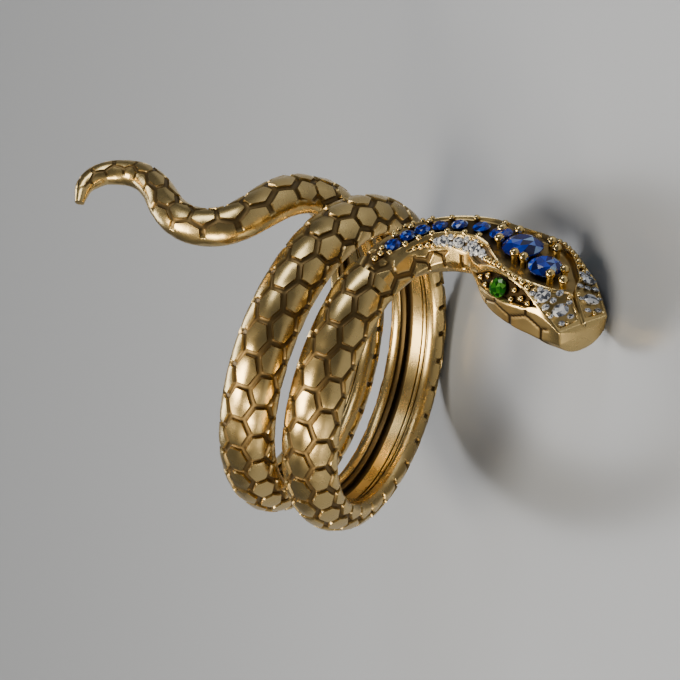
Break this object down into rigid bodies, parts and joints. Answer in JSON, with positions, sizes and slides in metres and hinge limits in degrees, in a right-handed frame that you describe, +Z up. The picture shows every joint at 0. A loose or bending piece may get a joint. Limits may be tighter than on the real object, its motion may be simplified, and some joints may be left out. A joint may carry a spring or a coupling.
{
  "type": "snake wrap ring",
  "caption": "Gold finger ring shaped as a coiled snake with raised scales, its jewelled head and curling tail standing off to either side.",
  "frame": {"origin": "middle of the ring's outline, on the ground that it lies on", "axes": "+Z up from the ground as the loose ring comes to rest on its side; +Y away from the viewer who sees the coil, head and tail as worn"},
  "size_m": [0.0242, 0.032, 0.0251],
  "materials": {
    "gold": "satin-polished yellow gold, darkened in the grooves",
    "sapphire": "polished, deep blue",
    "diamond": "polished, white",
    "emerald": "polished, green"
  },
  "bodies": {
    "root": {"snake_body": "gold", "sapphire_1": "sapphire", "sapphire_2": "sapphire", "sapphire_3": "sapphire", "sapphire_4": "sapphire", "sapphire_5": "sapphire", "sapphire_6": "sapphire", "sapphire_7": "sapphire", "sapphire_8": "sapphire", "sapphire_9": "sapphire", "diamond_near_1": "diamond", "diamond_far_1": "diamond", "diamond_near_2": "diamond", "diamond_far_2": "diamond", "diamond_near_3": "diamond", "diamond_far_3": "diamond", "diamond_near_4": "diamond", "diamond_far_4": "diamond", "diamond_near_5": "diamond", "diamond_far_5": "diamond", "diamond_near_6": "diamond", "diamond_far_6": "diamond", "eye_near": "emerald", "eye_far": "emerald"}
  },
  "joints": []
}
